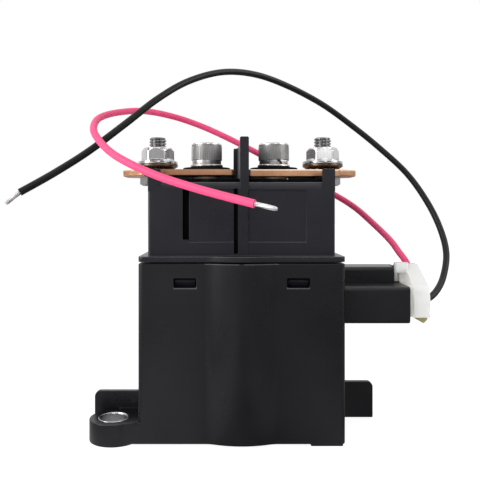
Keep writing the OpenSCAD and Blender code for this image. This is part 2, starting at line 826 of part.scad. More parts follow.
base_housing();
contact_cover();
at_left(0) busbar(bar_left_end);  // busbar_left
at_right(0) busbar(bar_right_end);  // busbar_right
at_left(stud_x) terminal_bolt();  // terminal_bolt_left
at_right(stud_x) terminal_bolt();  // terminal_bolt_right
at_left(stud_x) tooth_washer();  // tooth_washer_left
at_right(stud_x) tooth_washer();  // tooth_washer_right
at_left(stud_x) terminal_nut();  // terminal_nut_left
at_right(stud_x) terminal_nut();  // terminal_nut_right
at_left(screw_x) contact_screw();  // contact_screw_left
at_right(screw_x) contact_screw();  // contact_screw_right
at_left(screw_x) lock_washer();  // lock_washer_left
at_right(screw_x) lock_washer();  // lock_washer_right
at_left(screw_x) plain_washer();  // plain_washer_left
at_right(screw_x) plain_washer();  // plain_washer_right
at_left(screw_x) fibre_washer();  // fibre_washer_left
at_right(screw_x) fibre_washer();  // fibre_washer_right
at_left(screw_x) fixed_contact();  // fixed_contact_left
at_right(screw_x) fixed_contact();  // fixed_contact_right
translate([-ear_x, -ear_y, 0]) mounting_bush();  // mounting_bush_front
translate([ear_x, ear_y, 0]) mounting_bush();  // mounting_bush_rear
connector_plug();
plug_retainer();
plug_terminals();
coil_pins();
coil_leads();
coil_bobbin();
coil_winding();
fixed_core();
yoke_frame();
yoke_plate();
chamber_plate();
translate([0, -magnet_y, 0]) arc_magnet();  // arc_magnet_front
translate([0, magnet_y, 0]) arc_magnet();  // arc_magnet_rear
armature();
push_rod();
spring_seat();
bridge_clip();
return_spring();
contact_spring();
contact_bridge();
black_lead();
red_lead();
black_lead_core();
red_lead_core();
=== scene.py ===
import math

import bmesh
import bpy
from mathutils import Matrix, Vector


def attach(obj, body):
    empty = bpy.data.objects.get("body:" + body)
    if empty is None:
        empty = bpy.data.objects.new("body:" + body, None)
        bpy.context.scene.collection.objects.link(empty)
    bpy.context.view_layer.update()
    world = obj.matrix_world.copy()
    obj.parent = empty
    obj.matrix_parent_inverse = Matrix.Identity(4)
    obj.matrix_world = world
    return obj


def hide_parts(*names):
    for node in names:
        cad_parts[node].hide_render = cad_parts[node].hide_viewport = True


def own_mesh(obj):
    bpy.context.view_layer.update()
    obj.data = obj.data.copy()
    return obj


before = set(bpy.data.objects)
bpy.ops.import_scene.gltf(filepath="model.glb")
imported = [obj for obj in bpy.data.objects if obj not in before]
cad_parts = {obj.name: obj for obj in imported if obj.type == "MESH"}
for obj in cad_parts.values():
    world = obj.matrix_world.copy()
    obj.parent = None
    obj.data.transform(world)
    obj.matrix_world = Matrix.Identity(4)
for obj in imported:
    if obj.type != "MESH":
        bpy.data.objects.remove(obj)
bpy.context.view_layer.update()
scene = bpy.context.scene
print("frame loaded:", len(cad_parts), "nodes")

mm = 0.001  # lengths are in mm unless a note says metres
root = "housing"
sides = {"left": -1, "right": 1}


def linked(name, data):
    piece = bpy.data.objects.new(name, data)
    scene.collection.objects.link(piece)
    return piece


def within(value, span):
    return span[0] < value < span[1]


# Camera: level, in front and a little left of the middle
shot = {
    "place": (-4.5, -211.0, 72.1),
    "focalPixels": 620.0,
    "framePixels": 480.0,
    "middlePixel": (227.0, 210.0),  # where level lines running away from the camera meet
    "sensorWidth": 36.0,
    "nearClip": 5.0,
}


def makeCamera(opts):
    camera = bpy.data.cameras.new("shotCamera")
    holder = linked("shotCamera", camera)
    frameSize = opts["framePixels"]
    middleX, middleY = opts["middlePixel"]
    camera.sensor_width = opts["sensorWidth"]
    camera.lens = opts["focalPixels"] / frameSize * camera.sensor_width
    camera.shift_x = (frameSize / 2 - middleX) / frameSize
    camera.shift_y = (middleY - frameSize / 2) / frameSize
    camera.clip_start = opts["nearClip"] * mm
    holder.location = Vector(opts["place"]) * mm
    holder.rotation_euler = (math.radians(90), 0, 0)
    scene.camera = holder


makeCamera(shot)
print("camera set")


# Shader nodes
def nodeMaterial(name):
    material = bpy.data.materials.new(name)
    material.use_nodes = True
    tree = material.node_tree
    return material, tree, tree.nodes["Principled BSDF"]


def addNode(tree, kind, **values):
    node = tree.nodes.new(kind)
    for key, value in values.items():
        if key in node.inputs:
            node.inputs[key].default_value = value
        else:
            setattr(node, key, value)
    return node


def mathNode(tree, operation, first, second=None):
    # In a shader or a Geometry Nodes tree; a value is a number or another node's output
    node = addNode(tree, "ShaderNodeMath", operation=operation)
    for socket, value in zip(node.inputs, (first, second)):
        if isinstance(value, (int, float)):
            socket.default_value = value
        elif value is not None:
            tree.links.new(value, socket)
    return node.outputs[0]


def objectPlace(tree, scale=(1, 1, 1)):
    place = tree.nodes.new("ShaderNodeTexCoord")
    mapping = addNode(tree, "ShaderNodeMapping", Scale=scale)
    tree.links.new(place.outputs["Object"], mapping.inputs["Vector"])
    return mapping.outputs["Vector"]


def noise(tree, place, scale, detail, rough=0.55):
    node = addNode(tree, "ShaderNodeTexNoise", Scale=scale, Detail=detail, Roughness=rough)
    tree.links.new(place, node.inputs["Vector"])
    return node.outputs["Fac"]


def ramp(tree, source, stops):
    node = tree.nodes.new("ShaderNodeValToRGB")
    band = node.color_ramp
    for element, (position, colour) in zip(band.elements, (stops[0], stops[-1])):
        element.position = position
        element.color = (*colour, 1)
    for position, colour in stops[1:-1]:
        band.elements.new(position).color = (*colour, 1)
    tree.links.new(source, node.inputs["Fac"])
    return node.outputs["Color"]


def greyRamp(tree, source, stops, reach):
    # Levels of grey from -reach to reach, where source goes from 0 to 1
    greys = [((at / reach + 1) / 2, (level, level, level)) for at, level in stops]
    return ramp(tree, source, greys)


def spread(tree, source, low, high, fromLow=0.3, fromHigh=0.7):
    # The middle of a noise reaches from about 0.3 to 0.7
    node = tree.nodes.new("ShaderNodeMapRange")
    for label, value in (("From Min", fromLow), ("From Max", fromHigh),
                         ("To Min", low), ("To Max", high)):
        node.inputs[label].default_value = value
    tree.links.new(source, node.inputs["Value"])
    return node.outputs["Result"]


def fade(tree, source, low, high):
    return spread(tree, source, 0, 1, low, high)


def bump(tree, height, strength, distance, under=None):
    node = addNode(tree, "ShaderNodeBump", Strength=strength, Distance=distance * mm)
    tree.links.new(height, node.inputs["Height"])
    if under is not None:
        tree.links.new(under, node.inputs["Normal"])
    return node.outputs["Normal"]


def blendColours(tree, share, first, second):
    node = addNode(tree, "ShaderNodeMix", data_type="RGBA")
    for socket, source in ((0, share), (6, first), (7, second)):  # factor, A and B of the colours
        tree.links.new(source, node.inputs[socket])
    return node.outputs[2]


def blendShaders(tree, share, first, second):
    node = tree.nodes.new("ShaderNodeMixShader")
    for socket, source in zip(node.inputs, (share, first, second)):
        tree.links.new(source, socket)
    return node.outputs[0]


# Plastics: cloudy colour and gloss over a fine moulded grain. A bump is (strength, distance)
plasticLook = {
    "cloudScale": 38, "cloudDetail": 4, "cloudEnds": (0.3, 0.7), "cloudBump": (0.10, 0.5),
    "grainDetail": 2, "grainBump": (0.10, 0.06),
    "milkDepth": 6.0, "milkColour": (1.0, 0.95, 0.85),
}
plastics = {
    "housing": {"dark": (0.0048, 0.0047, 0.0062), "light": (0.0075, 0.0074, 0.0097),
                "grain": 2600, "rough": (0.24, 0.36), "specular": 0.36},
    "cover": {"dark": (0.0077, 0.0078, 0.0114), "light": (0.0112, 0.0113, 0.0160),
              "grain": 2600, "rough": (0.24, 0.36), "specular": 0.38},
    # Painted shade: a matt near-black put in slots and on a step, where only shade falls
    "paintedSlotShade": {"dark": (0.0022, 0.0022, 0.0026), "light": (0.0034, 0.0034, 0.0040),
                  "grain": 2600, "rough": (0.90, 1.0), "specular": 0.02},
    # Painted highlights: lighter greys on edges that catch the light
    "paintedEdgeHighlight": {"dark": (0.040, 0.040, 0.046), "light": (0.070, 0.070, 0.078),
                 "grain": 2600, "rough": (0.24, 0.36)},
    "paintedPanelHighlight": {"dark": (0.020, 0.020, 0.024), "light": (0.034, 0.034, 0.040),
                  "grain": 2600, "rough": (0.24, 0.36)},
    "fibre": {"dark": (0.006, 0.006, 0.006), "light": (0.010, 0.010, 0.009),
              "grain": 1500, "rough": (0.80, 0.95), "specular": 0.06},
    "bobbin": {"dark": (0.02, 0.02, 0.02), "light": (0.03, 0.03, 0.03),
               "grain": 1800, "rough": (0.45, 0.6)},
    "ferrite": {"dark": (0.03, 0.03, 0.034), "light": (0.05, 0.05, 0.055),
                "grain": 1900, "rough": (0.5, 0.7)},
    "nylon": {"dark": (0.70, 0.70, 0.67), "light": (0.78, 0.78, 0.75),
              "grain": 1400, "rough": (0.38, 0.52), "specular": 0.3, "milk": 0.9},
    "olive": {"dark": (0.27, 0.25, 0.11), "light": (0.37, 0.34, 0.17),
              "grain": 1400, "rough": (0.38, 0.52), "specular": 0.3, "milk": 0.15},
    "redSleeve": {"dark": (0.80, 0.060, 0.180), "light": (0.88, 0.092, 0.238),
                  "grain": 1600, "rough": (0.42, 0.56), "specular": 0.3},
    "blackSleeve": {"dark": (0.0050, 0.0050, 0.0055), "light": (0.0085, 0.0085, 0.0090),
                    "grain": 1600, "rough": (0.30, 0.42), "specular": 0.27},
}


def mouldedPlastic(name, opts):
    material, tree, shader = nodeMaterial(name)
    look = plasticLook
    place = objectPlace(tree)
    cloud = noise(tree, place, look["cloudScale"], look["cloudDetail"])
    fine = noise(tree, place, opts["grain"], look["grainDetail"])
    colour = ramp(tree, cloud, list(zip(look["cloudEnds"], (opts["dark"], opts["light"]))))
    relief = bump(tree, fine, *look["grainBump"], bump(tree, cloud, *look["cloudBump"]))
    tree.links.new(colour, shader.inputs["Base Color"])
    tree.links.new(spread(tree, cloud, *opts["rough"]), shader.inputs["Roughness"])
    tree.links.new(relief, shader.inputs["Normal"])
    shader.inputs["Specular IOR Level"].default_value = opts.get("specular", 0.5)
    shader.inputs["Subsurface Weight"].default_value = opts.get("milk", 0.0)
    shader.inputs["Subsurface Scale"].default_value = look["milkDepth"] * mm
    shader.inputs["Subsurface Radius"].default_value = look["milkColour"]
    return material


# Metals: grain that is stretched along the way each was drawn, rolled or turned
metalLook = {
    "grainScale": 420, "grainDetail": 4, "grainRough": 0.6, "grainBump": (0.15, 0.05),
    "cloudScale": 160, "cloudDetail": 3, "cloudEnds": (0.32, 0.68), "cloudBump": (0.10, 0.2),
}
metals = {
    "copper": {"dark": (0.66, 0.34, 0.19), "light": (0.82, 0.46, 0.275),
               "rough": (0.24, 0.38), "stretch": (0.15, 1, 1)},
    # Painted highlight: a lighter copper on the up-facing faces of the bars' top edges
    "paintedCopperHighlight": {"dark": (0.86, 0.66, 0.50), "light": (0.95, 0.76, 0.60),
                   "rough": (0.20, 0.32), "stretch": (0.15, 1, 1)},
    # Painted shade: a near-black copper on the bars' undersides, standing in for the shade under
    # the bars
    "paintedShadeCopper": {"dark": (0.030, 0.016, 0.010), "light": (0.070, 0.038, 0.024),
                   "rough": (0.55, 0.75), "stretch": (1, 1, 1)},
    "zinc": {"dark": (0.66, 0.65, 0.66), "light": (0.78, 0.77, 0.78),
             "rough": (0.10, 0.20), "stretch": (1, 1, 0.3)},
    # Painted shade: a darker zinc for the threads' grooves and the bolt heads under the bars
    "shadedZinc": {"dark": (0.26, 0.255, 0.26), "light": (0.36, 0.355, 0.36),
                   "rough": (0.18, 0.30), "stretch": (1, 1, 0.3)},
    # The tooth washers' own dark brown, made darker still as painted shade under the nuts' flanges
    "washer": {"dark": (0.10, 0.085, 0.065), "light": (0.20, 0.17, 0.13),
               "rough": (0.24, 0.40), "stretch": (1, 1, 0.3)},
    "stainless": {"dark": (0.58, 0.57, 0.565), "light": (0.70, 0.69, 0.685),
                  "rough": (0.26, 0.40), "stretch": (1, 1, 0.2)},
    # Painted highlight: lighter, glossier metal on the cap screws' turned rims, which are also
    # smooth, and on the up-facing faces of the ear bushes
    "highlightRim": {"dark": (0.78, 0.77, 0.77), "light": (0.88, 0.87, 0.87),
                  "rough": (0.14, 0.24), "stretch": (1, 1, 1)},
    # Painted shade: darker steel on the knurled heads, for the shade between the ridges
    "screwHead": {"dark": (0.32, 0.315, 0.315), "light": (0.43, 0.42, 0.42),
                  "rough": (0.40, 0.52), "stretch": (1, 1, 0.2)},
    "bush": {"dark": (0.44, 0.44, 0.45), "light": (0.58, 0.58, 0.59),
             "rough": (0.24, 0.36), "stretch": (1, 1, 0.3)},
    "yoke": {"dark": (0.42, 0.42, 0.41), "light": (0.52, 0.52, 0.50),
             "rough": (0.30, 0.45), "stretch": (1, 0.3, 1)},
    "brass": {"dark": (0.62, 0.45, 0.18), "light": (0.72, 0.55, 0.25),
              "rough": (0.22, 0.36), "stretch": (1, 1, 0.4)},
    "winding": {"dark": (0.45, 0.17, 0.07), "light": (0.58, 0.25, 0.10),
                "rough": (0.22, 0.32), "stretch": (0.2, 0.2, 1)},
    "tinned": {"dark": (0.66, 0.65, 0.64), "light": (0.88, 0.87, 0.86),
               "rough": (0.24, 0.40), "stretch": (1, 0.4, 1)},
}


def rolledMetal(name, opts):
    material, tree, shader = nodeMaterial(name)
    look = metalLook
    stretched = objectPlace(tree, opts["stretch"])
    grain = noise(tree, stretched, look["grainScale"], look["grainDetail"], look["grainRough"])
    cloud = noise(tree, objectPlace(tree), look["cloudScale"], look["cloudDetail"])
    colour = ramp(tree, cloud, list(zip(look["cloudEnds"], (opts["dark"], opts["light"]))))
    relief = bump(tree, grain, *look["grainBump"], bump(tree, cloud, *look["cloudBump"]))
    tree.links.new(colour, shader.inputs["Base Color"])
    tree.links.new(spread(tree, grain, *opts["rough"]), shader.inputs["Roughness"])
    tree.links.new(relief, shader.inputs["Normal"])
    shader.inputs["Metallic"].default_value = 1.0
    return material


# Contact necks: copper above a given height, and a dark teal below it, where they meet the roof
neck = {"darkTo": 82.5, "fadeOver": 0.1, "darkBase": (0.006, 0.016, 0.018),
        "copper": (0.92, 0.62, 0.42), "metallic": 0.5, "rough": 0.4}


def darkBaseNeck(name, opts):
    material, tree, shader = nodeMaterial(name)
    heights = tree.nodes.new("ShaderNodeSeparateXYZ")
    tree.links.new(objectPlace(tree), heights.inputs[0])
    darkTo = opts["darkTo"]
    share = fade(tree, heights.outputs["Z"], darkTo * mm, (darkTo + opts["fadeOver"]) * mm)
    colour = ramp(tree, share, [(0.0, opts["darkBase"]), (1.0, opts["copper"])])
    tree.links.new(colour, shader.inputs["Base Color"])
    tree.links.new(spread(tree, share, 0, opts["metallic"], 0, 1), shader.inputs["Metallic"])
    shader.inputs["Roughness"].default_value = opts["rough"]
    return material


finish = {name: mouldedPlastic(name, opts) for name, opts in plastics.items()}
finish.update({name: rolledMetal(name, opts) for name, opts in metals.items()})
finish["darkBaseNeck"] = darkBaseNeck("darkBaseNeck", neck)

# The start of a node's name, and its finish; the iron parts not listed are "yoke"
nodeFinish = {
    "base_housing": "housing",
    "contact_cover": "cover",
    "busbar": "copper",
    "fixed_contact": "darkBaseNeck",
    "contact_bridge": "copper",
    "terminal_bolt": "zinc",
    "tooth_washer": "washer",
    "terminal_nut": "zinc",
    "contact_screw": "screwHead",
    "lock_washer": "stainless",
    "plain_washer": "stainless",
    "fibre_washer": "fibre",
    "mounting_bush": "bush",
    "connector_plug": "nylon",
    "plug_retainer": "olive",
    "plug_terminals": "brass",
    "coil_pins": "brass",
    "coil_leads": "winding",
    "coil_winding": "winding",
    "coil_bobbin": "bobbin",
    "chamber_plate": "bobbin",
    "arc_magnet": "ferrite",
    "black_lead": "blackSleeve",
    "red_lead": "redSleeve",
    "black_lead_core": "tinned",
    "red_lead_core": "tinned",
    "push_rod": "stainless",
    "spring_seat": "stainless",
    "return_spring": "stainless",
    "contact_spring": "stainless",
    "bridge_clip": "stainless",
}


def finishFor(node):
    for start in sorted(nodeFinish, key=len, reverse=True):
        if node.startswith(start):
            return finish[nodeFinish[start]]
    return finish["yoke"]


for nodeName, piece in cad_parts.items():
    piece.data.materials.clear()
    piece.data.materials.append(finishFor(nodeName))
print("finishes assigned")


# Mesh tools
meshing = {
    "weldGap": 0.002,
    "flatAngle": 0.4,  # degrees: faces that lie flatter than this are joined
    "sharpFrom": 32,  # degrees: edges sharper than this are rounded
    "smoothBelow": 35,  # degrees: edges between rounded faces stay smooth
    "room": 1.5,  # least room for a rounding, as a share of its width
    "straightOn": 0.8,  # cosine past which two edges run on in line
}


def pieceFrom(build, name, *materials):
    mesh = bpy.data.meshes.new(name)
    build.to_mesh(mesh)
    build.free()
    for material in materials:
        mesh.materials.append(material)
    return linked(name, mesh)


def weld(build):
    flat = math.radians(meshing["flatAngle"])
    bmesh.ops.remove_doubles(build, verts=build.verts, dist=meshing["weldGap"] * mm)
    bmesh.ops.dissolve_limit(build, angle_limit=flat, verts=build.verts, edges=build.edges)


def bothSides(stem):
    return [stem + "_" + side for side in sides]


def nodeCopy(name, nodes, reshape=None):
    # A piece made from the form of one or more nodes, which it then replaces
    build = bmesh.new()
    for node in nodes:
        build.from_mesh(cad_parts[node].data)
    weld(build)
    if reshape:
        reshape(build)
    piece = pieceFrom(build, name, finishFor(nodes[0]))
    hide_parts(*nodes)
    return piece


def applyModifiers(piece):
    graph = bpy.context.evaluated_depsgraph_get()
    done = bpy.data.meshes.new_from_object(piece.evaluated_get(graph))
    done.name = piece.name
    piece.modifiers.clear()
    piece.data = done


def smoothByAngle(piece, degrees):
    mesh = piece.data
    mesh.polygons.foreach_set("use_smooth", [True] * len(mesh.polygons))
    build = bmesh.new()
    build.from_mesh(mesh)
    limit = math.radians(degrees)
    for edge in build.edges:
        faces = edge.link_faces
        edge.smooth = len(faces) == 2 and faces[0].normal.angle(faces[1].normal, 0) < limit
    build.to_mesh(mesh)
    build.free()


def hasRoom(edge, room, angle):
    # Sharp, with no short edge turning off at its ends, and itself long or carried on in line
    if len(edge.link_faces) != 2 or edge.calc_face_angle(0) < angle:
        return False
    straightOn = meshing["straightOn"]
    for vert in edge.verts:
        along = (vert.co - edge.other_vert(vert).co).normalized()
        ahead = [(other, (other.other_vert(vert).co - vert.co).normalized().dot(along))
                 for other in vert.link_edges if other is not edge]
        if any(other.calc_length() < room and turn < straightOn for other, turn in ahead):
            return False
        if edge.calc_length() < room and max(turn for other, turn in ahead) < straightOn:
            return False
    return True


def chooseEdges(piece, room, angle):
    # A bevel weight for each sharp edge that has room for its rounding
    build = bmesh.new()
    build.from_mesh(piece.data)
    weights = [float(hasRoom(edge, room, angle)) for edge in build.edges]
    build.free()
    layer = piece.data.attributes.new("bevel_weight_edge", "FLOAT", "EDGE")
    layer.data.foreach_set("value", weights)


def roundEdges(piece, width, steps, chosen=False):
    # Chosen: crowded edges stay sharp, where clamping would make every rounding too small
    angle = math.radians(meshing["sharpFrom"])
    edge = piece.modifiers.new("edge", "BEVEL")
    edge.width = width * mm
    edge.segments = steps
    edge.limit_method = "WEIGHT" if chosen else "ANGLE"
    edge.angle_limit = angle
    edge.use_clamp_overlap = not chosen
    if chosen:
        chooseEdges(piece, width * mm * meshing["room"], angle)
    applyModifiers(piece)
    if chosen:
        piece.data.attributes.remove(piece.data.attributes["bevel_weight_edge"])
    smoothByAngle(piece, meshing["smoothBelow"])
    even = piece.modifiers.new("even", "WEIGHTED_NORMAL")
    even.keep_sharp = True
    applyModifiers(piece)


def fromAxis(vert, x):
    # The middle of a turned part at this height, and the way out from it to the vertex
    centre = Vector((math.copysign(x * mm, vert.co.x), 0, vert.co.z))
    return centre, vert.co - centre


def resizeRims(build, x, radii, band):
    # Vertices within the band inside the first radius move out or in, to suit the second
    for vert in build.verts:
        centre, flat = fromAxis(vert, x)
        if flat.length > (radii[0] - band) * mm:
            vert.co = centre + flat * (radii[1] / radii[0])


# Screw stacks: a thicker fibre washer, and the washers above it moved to suit
stack = {
    "x": 11.4,
    # Heights between which the fibre, plain and lock washer and the head lie
    "from": (85.4, 86.0, 87.1, 88.7, 94.7),
    "to": (85.4, 86.3, 87.5, 88.9, 94.7),
    "near": 0.01,
    "plainRadii": (5.9, 5.5),  # as in the solid, and as seen
    "plainBand": 0.2,
}


def restack(build):
    low, high, near = stack["from"], stack["to"], stack["near"]
    for vert in build.verts:
        z = vert.co.z / mm
        for k in range(len(low) - 1):
            if low[k] - near <= z <= low[k + 1] + near:
                stretch = (high[k + 1] - high[k]) / (low[k + 1] - low[k])
                vert.co.z = (high[k] + (z - low[k]) * stretch) * mm
                break


def restackPlain(build):
    restack(build)
    resizeRims(build, stack["x"], stack["plainRadii"], stack["plainBand"])


# Bars: smaller corners at their inner ends, and a line where the painted shade on the underside
# ends
bars = {"innerX": 1.8, "half": 9.0, "corner": 1.9, "cornerSeen": 0.9, "near": 0.1, "undersideShadeTo": 31.5}


def squareBars(build):
    for sign in sides.values():
        whole = build.verts[:] + build.edges[:] + build.faces[:]
        place = (sign * bars["undersideShadeTo"] * mm, 0, 0)
        bmesh.ops.bisect_plane(build, geom=whole, plane_co=place, plane_no=(1, 0, 0))
    innerX, half, near = bars["innerX"], bars["half"], bars["near"]
    for vert in build.verts:
        x, y = abs(vert.co.x) / mm, abs(vert.co.y) / mm
        if x < innerX + near / 2 and abs(y - (half - bars["corner"])) < near:
            vert.co.y = math.copysign((half - bars["cornerSeen"]) * mm, vert.co.y)
        elif abs(x - (innerX + bars["corner"])) < near and y > half - near / 2:
            vert.co.x = math.copysign((innerX + bars["cornerSeen"]) * mm, vert.co.x)


# Nuts: a wider, higher flange, a steeper cone on it, and a deeper chamfer on the hexagon
nut = {
    "x": 28.0,
    "seat": 86.0,
    "rimRadii": (6.0, 6.75),  # as in the solid, and as seen
    "rimBand": 0.15,
    "rimBelow": 2.1,  # heights over the seat
    "rimLift": 0.5,
    "cone": (1.9, 2.5),
    "coneSeen": (2.4, 3.3),
    "coneBelow": 2.6,
    "top": 93.1,
    "chamferRadius": 4.7,
    "chamferDepth": 0.75,
    "chamferSlope": 1.45,
    "toothRadii": (7.0, 6.8),
    "toothBand": 0.5,
}


def spreadFlange(build):
    (low, high), (solid, solidTo), (seen, seenTo) = nut["rimRadii"], nut["cone"], nut["coneSeen"]
    stretch = (seenTo - seen) / (solidTo - solid)
    for vert in build.verts:
        centre, flat = fromAxis(vert, nut["x"])
        over = vert.co.z / mm - nut["seat"]
        pastChamfer = flat.length - nut["chamferRadius"] * mm
        if flat.length > (low - nut["rimBand"]) * mm and over < nut["rimBelow"]:
            vert.co = centre + flat * (high / low)
            vert.co.z += nut["rimLift"] * mm
        elif solid < over < nut["coneBelow"]:
            vert.co.z = (nut["seat"] + seen + (over - solid) * stretch) * mm
        elif vert.co.z > (nut["top"] - nut["chamferDepth"]) * mm and pastChamfer > 0:
            vert.co.z = nut["top"] * mm - pastChamfer * nut["chamferSlope"]


def trimTeeth(build):
    resizeRims(build, nut["x"], nut["toothRadii"], nut["toothBand"])


# Pieces whose sharp edges are rounded, by width and steps
rounded = {
    "housingShell": {"nodes": ["base_housing"], "width": 0.3, "steps": 2, "chosen": True},
    "coverShell": {"nodes": ["contact_cover"], "width": 0.2, "steps": 2, "chosen": True},
    "copperBars": {"nodes": bothSides("busbar"), "width": 0.45, "steps": 3, "chosen": True,
                   "reshape": squareBars},
    "plugWedge": {"nodes": ["plug_retainer"], "width": 0.3, "steps": 2},
    "flangeNuts": {"nodes": bothSides("terminal_nut"), "width": 0.22, "steps": 3,
                   "reshape": spreadFlange},
    "toothWashers": {"nodes": bothSides("tooth_washer"), "width": 0.12, "steps": 2,
                     "reshape": trimTeeth},
    "capScrews": {"nodes": bothSides("contact_screw"), "width": 0.35, "steps": 3,
                  "reshape": restack},
    "lockWashers": {"nodes": bothSides("lock_washer"), "width": 0.25, "steps": 3,
                    "reshape": restack},
    "plainWashers": {"nodes": bothSides("plain_washer"), "width": 0.55, "steps": 3,
                     "reshape": restackPlain},
    "fibreWashers": {"nodes": bothSides("fibre_washer"), "width": 0.2, "steps": 2,
                     "reshape": restack},
    "earBushes": {"nodes": ["mounting_bush_front", "mounting_bush_rear"], "width": 0.2, "steps": 2},
}
for name, opts in rounded.items():
    piece = nodeCopy(name, opts["nodes"], opts.get("reshape"))
    roundEdges(piece, opts["width"], opts["steps"], opts.get("chosen", False))
    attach(piece, root)
    print("rounded", name, len(piece.data.polygons), "faces")


# Springs: smoothed copies of the nodes, each on its body
springs = {
    "returnCoil": {"node": "return_spring", "body": root, "joint": "armature_slide",
                   "fixedEnd": 31.0, "keep": 0.784},
    "contactCoil": {"node": "contact_spring", "body": "armature", "joint": "bridge_lag",
                    "fixedEnd": 59.0, "keep": 0.93},
}
wireSmooth = 65  # degrees
for name, opts in springs.items():
    piece = nodeCopy(name, [opts["node"]])
    smoothByAngle(piece, wireSmooth)
    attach(piece, opts["body"])
    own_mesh(piece)
print("springs made")


# Plug: the node's rear part, with the hood, the plate behind it and the latch pad as seen
plug = {
    "front": ((52.7, -20, 36), (62, 10, 57)),  # cut away: the node's own form ends at x 52.7
    "recess": ((52.1, -5.6, 48.4), (52.8, -3.6, 51.5)),
    "padRear": ((50.9, -5.59, 51.45), (52.8, 0.2, 55)),
    "hood": {"x": (54.1, 59.3), "side": [
        (-16.5, 38.3), (-16.5, 44.2), (-15.4, 48), (-6, 54.2), (1.5, 54.2), (6, 51), (6, 38.3)]},
    "taper": {"y": (-18, 8), "front": [
        (52, 37), (59.3, 37), (59.3, 46.5), (58.5, 54.3), (52, 54.3)]},
    "plate": {"x": (52.7, 54.2), "side": [
        (-16.1, 38.5), (-16.1, 48.2), (-6, 48.2), (-6, 54), (1.5, 54), (5.8, 50.9), (5.8, 38.5)]},
    "inside": {"x": (55.3, 60.5), "side": [
        (-15.3, 39.5), (-15.3, 43.9), (-14.3, 47.2), (-5.6, 52.9), (1.1, 52.9), (4.8, 50.4),
        (4.8, 39.5)]},
    "pad": ((50.8, -8.3, 51.5), (54.7, -5.6, 54.9)),
    "redWay": ((54.9, -1.7, 50), (60.5, 2.3, 55)),
    "leadWays": [((44, y - 1.35, 40.85), (56, y + 1.35, 44.35)) for y in (-10.5, -0.5)],
    "width": 0.35,
    "steps": 2,
}


def prism(name, first, last):
    # Closed solid between two like outlines
    count = len(first)
    build = bmesh.new()
    corners = [build.verts.new(Vector(corner) * mm) for corner in first + last]
    for k in range(count):
        after = (k + 1) % count
        build.faces.new((corners[k], corners[after], corners[count + after], corners[count + k]))
    build.faces.new(corners[:count])
    build.faces.new(corners[count:])
    bmesh.ops.recalc_face_normals(build, faces=build.faces)
    return pieceFrom(build, name)


def box(name, low, high):
    outline = [(low[0], low[1]), (high[0], low[1]), (high[0], high[1]), (low[0], high[1])]
    return prism(name, *[[(x, y, z) for x, y in outline] for z in (low[2], high[2])])


def alongX(name, opts):
    return prism(name, *[[(x, y, z) for y, z in opts["side"]] for x in opts["x"]])


def alongY(name, opts):
    return prism(name, *[[(x, y, z) for x, z in opts["front"]] for y in opts["y"]])


def shaped(piece, how, tool):
    # Join, cut or keep the common part, and drop the tool
    step = piece.modifiers.new("shape", "BOOLEAN")
    step.operation = how
    step.object = tool
    step.solver = "EXACT"
    applyModifiers(piece)
    bpy.data.objects.remove(tool)


def makePlug(opts):
    shell = nodeCopy("plugShell", ["connector_plug"])
    for cut in ("front", "recess", "padRear"):
        shaped(shell, "DIFFERENCE", box(cut, *opts[cut]))
    hood = alongX("hood", opts["hood"])
    shaped(hood, "INTERSECT", alongY("taper", opts["taper"]))
    shaped(hood, "UNION", alongX("plate", opts["plate"]))
    shaped(hood, "DIFFERENCE", alongX("inside", opts["inside"]))
    shaped(hood, "UNION", box("pad", *opts["pad"]))
    shaped(hood, "DIFFERENCE", box("redWay", *opts["redWay"]))
    for low, high in opts["leadWays"]:
        shaped(hood, "DIFFERENCE", box("leadWay", low, high))
    shaped(shell, "UNION", hood)
    build = bmesh.new()
    build.from_mesh(shell.data)
    weld(build)
    build.to_mesh(shell.data)
    build.free()
    roundEdges(shell, opts["width"], opts["steps"])
    return shell


piece = makePlug(plug)
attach(piece, root)
print("plug made", len(piece.data.polygons), "faces")


# Faces with a finish of their own. How far a face looks up is its normal's z, from -1 to 1
def refinish(name, finishName, chosen):
    piece = bpy.data.objects[name]
    piece.data.materials.append(finish[finishName])
    for face in piece.data.polygons:
        if chosen(face):
            face.material_index = len(piece.data.materials) - 1


# Painted shade: the deep slots beside the cover's rib and panel, and the step under the bars, get a
# matt near-black that stands in for the shade in them
slots = [
    {"x": (-18.25, -16.25), "forward": (0, 18.7), "z": (62.8, 78.8)},
    {"x": (-2.35, -1.05), "forward": (0, 18.7), "z": (58.3, 78.8)},
    {"x": (-29, 29), "forward": (16.0, 16.9), "z": (80.95, 81.98)},
]


def inShadedSlot(face):
    # Each slot shows on the front, and turned by half a turn on the rear
    x, y, z = face.center / mm
    if y > 0:
        x, y = -x, -y
    return any(within(x, slot["x"]) and within(-y, slot["forward"]) and within(z, slot["z"])
               for slot in slots)


# Painted highlights: lighter plastic on the up-facing faces of edges at the housing's rim at the
# swell, the windows' lower edges, the cover's flange and its panels
highlightUp = (0.25, 0.97)
highlightEdges = [
    {"piece": "housingShell", "finish": "paintedEdgeHighlight",
     "spots": [{"x": (0, 11.5), "z": (55.2, 55.75)}, {"x": (13.7, 21.0), "z": (47.7, 48.5)}]},
    {"piece": "coverShell", "finish": "paintedEdgeHighlight", "spots": [{"x": (0, 34), "z": (57.4, 57.95)}]},
    {"piece": "coverShell", "finish": "paintedPanelHighlight", "spots": [{"x": (2, 20), "z": (61.7, 62.3)}]},
]


def isHighlighted(face, spots):
    x, z = abs(face.center.x) / mm, face.center.z / mm
    return within(face.normal.z, highlightUp) and any(
        within(x, spot["x"]) and within(z, spot["z"]) for spot in spots)


barHighlightUp = (0.15, 0.97)
barUndersideUp = -0.5
bushHighlightUp = 0.3
screwHighlightFrom = 93.6


